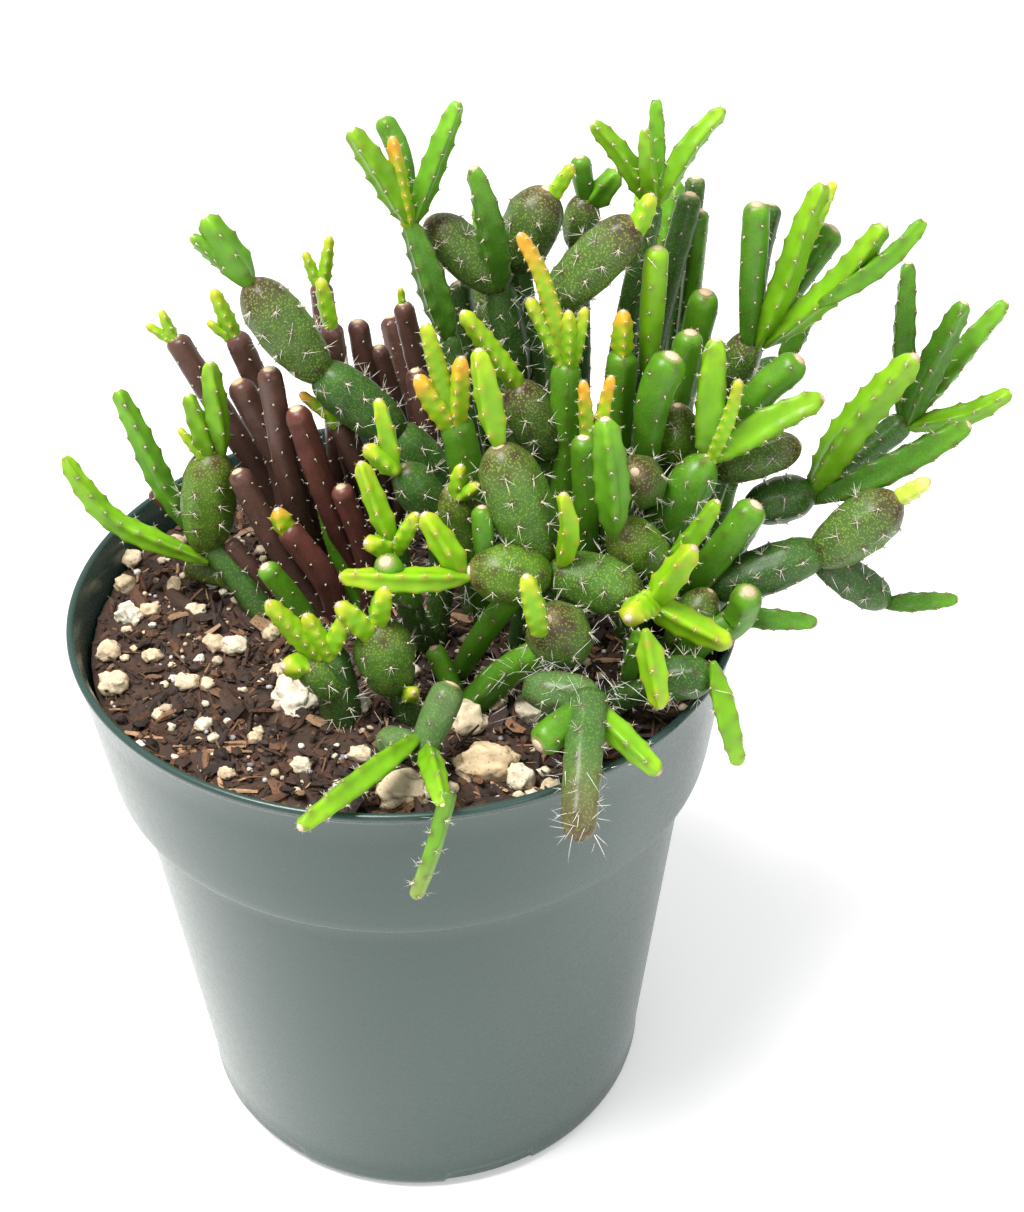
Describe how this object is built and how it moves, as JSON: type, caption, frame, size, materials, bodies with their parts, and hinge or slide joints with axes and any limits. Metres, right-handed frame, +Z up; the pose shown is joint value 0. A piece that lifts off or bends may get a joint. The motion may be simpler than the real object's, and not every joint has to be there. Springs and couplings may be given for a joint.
{
  "type": "potted jointed-stem cactus",
  "caption": "Dancing bones cactus with many jointed green and purple stems growing in a round plastic nursery pot of bark and perlite mix.",
  "frame": {"origin": "middle of the pot's underside, on the surface it stands on", "axes": "+Z up along the pot's axis, -Y towards the viewer, +X to the viewer's right"},
  "size_m": [0.1456, 0.1154, 0.1725],
  "materials": {
    "green_stem": "waxy dark green stem skin",
    "bright_stem": "waxy fresh green stem skin",
    "purple_stem": "waxy purple-brown stem skin",
    "pot_plastic": "satin dark slate-green plastic",
    "potting_mix": "coarse bark, peat and perlite",
    "pumice": "rough cream pumice and perlite",
    "bark": "dry splintery bark"
  },
  "bodies": {
    "root": {"centre_star_branch": "bright_stem", "centre_barrel_stem": "green_stem", "front_centre_branch": "green_stem", "front_round_stem": "green_stem", "front_spiny_branch": "green_stem", "front_right_branch": "green_stem", "right_rim_stem": "green_stem", "right_long_branch": "green_stem", "front_left_stem": "bright_stem", "front_left_barrel_stem": "bright_stem", "rim_cutting": "green_stem", "rim_cutting_arm": "bright_stem", "lime_fork": "bright_stem", "front_left_club": "green_stem", "orange_trio_stem": "green_stem", "spiny_barrel_chain": "green_stem", "dark_barrel_stem": "green_stem", "yellow_fan_stem": "green_stem", "winged_club_stem": "green_stem", "right_mid_barrel_stem": "bright_stem", "left_fat_stem": "bright_stem", "left_low_arm": "bright_stem", "left_high_arm": "bright_stem", "top_left_fan": "green_stem", "top_left_spiny_stem": "green_stem", "top_round_stem": "green_stem", "top_big_barrel_stem": "green_stem", "top_fan_stem": "bright_stem", "top_back_stem": "green_stem", "bright_club_pair": "green_stem", "broad_club_stem": "green_stem", "tall_green_trio": "green_stem", "right_fan": "green_stem", "mid_dark_club": "green_stem", "right_back_club": "green_stem", "right_dark_barrel_stem": "green_stem", "right_far_fan": "green_stem", "right_plum_stem": "green_stem", "purple_far_left": "bright_stem", "purple_back_pair": "bright_stem", "purple_mid_pair": "purple_stem", "purple_centre_pair": "purple_stem", "purple_back_trio": "purple_stem", "purple_right_pair": "purple_stem", "purple_front_pair": "purple_stem", "purple_low_trio": "purple_stem", "purple_behind_arms": "purple_stem", "wine_and_slim_pair": "purple_stem", "back_left_club": "purple_stem", "back_mid_barrel_stem": "green_stem", "back_right_barrel_stem": "green_stem", "back_low_stem": "green_stem", "back_far_right_stem": "green_stem", "pumice_lump": "pumice", "perlite_lump": "pumice", "cream_pumice_lump": "pumice", "left_perlite_lump": "pumice", "bark_sliver": "bark", "potting_mix": "potting_mix", "nursery_pot": "pot_plastic"}
  },
  "joints": []
}
